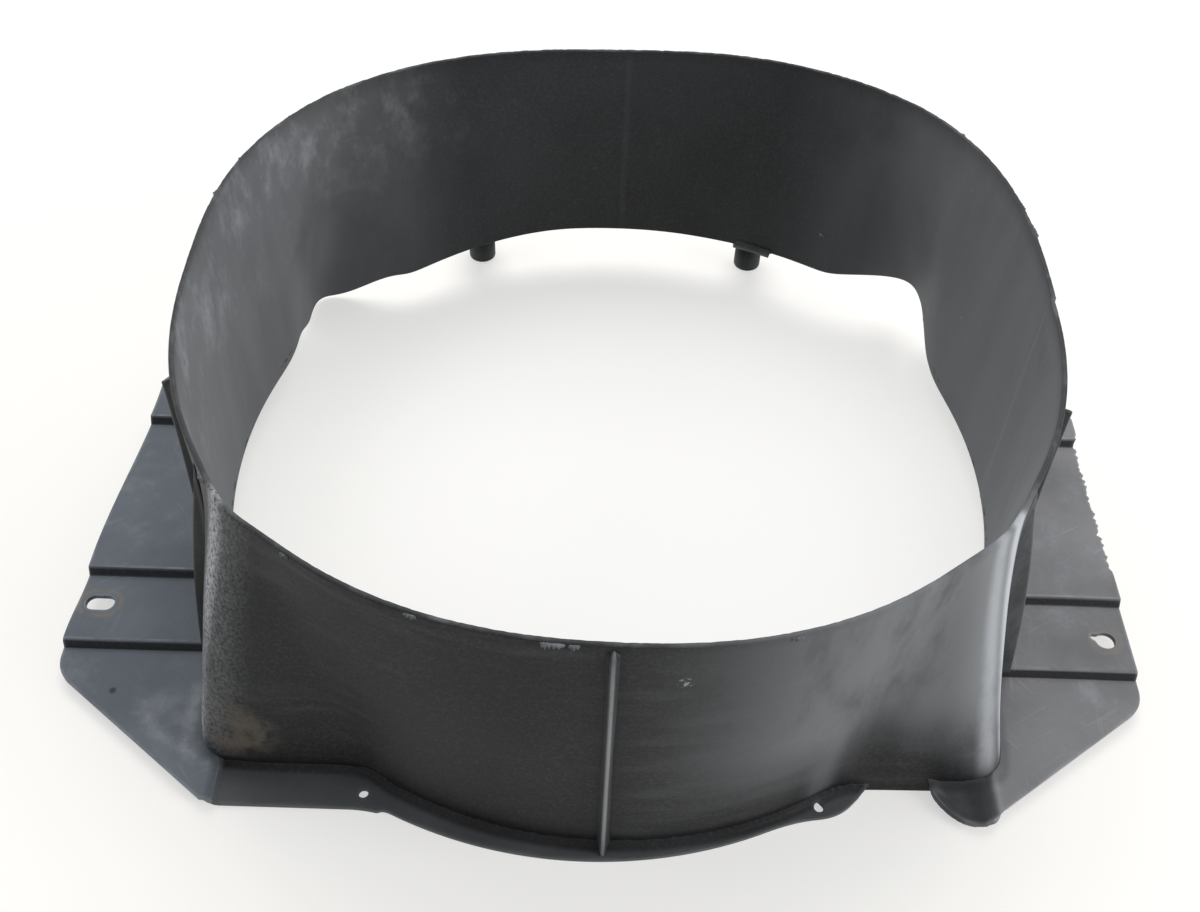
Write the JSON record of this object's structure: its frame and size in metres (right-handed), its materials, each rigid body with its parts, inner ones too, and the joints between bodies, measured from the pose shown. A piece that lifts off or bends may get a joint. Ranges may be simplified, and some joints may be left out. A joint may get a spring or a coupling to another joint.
{
  "type": "radiator fan shroud",
  "caption": "Deep moulded radiator fan shroud: square-cornered base blending into a round fan throat, stepped slotted side wings, outer ribs and a front flange.",
  "frame": {"origin": "on the floor plane of the radiator side, under the middle of the fan rim", "axes": "+Z from the radiator side up to the fan rim, +X to the shroud's right, +Y to the rear edge that stands on the two pegs"},
  "size_m": [0.634, 0.506, 0.187],
  "materials": {
    "shroud_plastic": "matte"
  },
  "bodies": {
    "root": {"front_wall": "shroud_plastic", "rear_wall": "shroud_plastic", "left_wall": "shroud_plastic", "right_wall": "shroud_plastic", "front_left_corner": "shroud_plastic", "front_right_corner": "shroud_plastic", "rear_left_corner": "shroud_plastic", "rear_right_corner": "shroud_plastic", "left_wing_front_panel": "shroud_plastic", "left_wing_slot_panel": "shroud_plastic", "left_wing_middle_panel": "shroud_plastic", "left_wing_rear_panel": "shroud_plastic", "left_front_rib": "shroud_plastic", "left_middle_rib": "shroud_plastic", "left_rear_rib": "shroud_plastic", "left_back_rib": "shroud_plastic", "right_wing_front_panel": "shroud_plastic", "right_wing_slot_panel": "shroud_plastic", "right_wing_middle_panel": "shroud_plastic", "right_wing_rear_panel": "shroud_plastic", "right_front_rib": "shroud_plastic", "right_middle_rib": "shroud_plastic", "right_rear_rib": "shroud_plastic", "right_back_rib": "shroud_plastic", "front_left_flange": "shroud_plastic", "front_lip": "shroud_plastic", "front_right_tab": "shroud_plastic", "front_right_foot": "shroud_plastic", "front_centre_rib": "shroud_plastic", "rear_centre_rib": "shroud_plastic", "rear_left_ear": "shroud_plastic", "rear_right_ear": "shroud_plastic", "rear_left_peg": "shroud_plastic", "rear_right_peg": "shroud_plastic"}
  },
  "joints": []
}
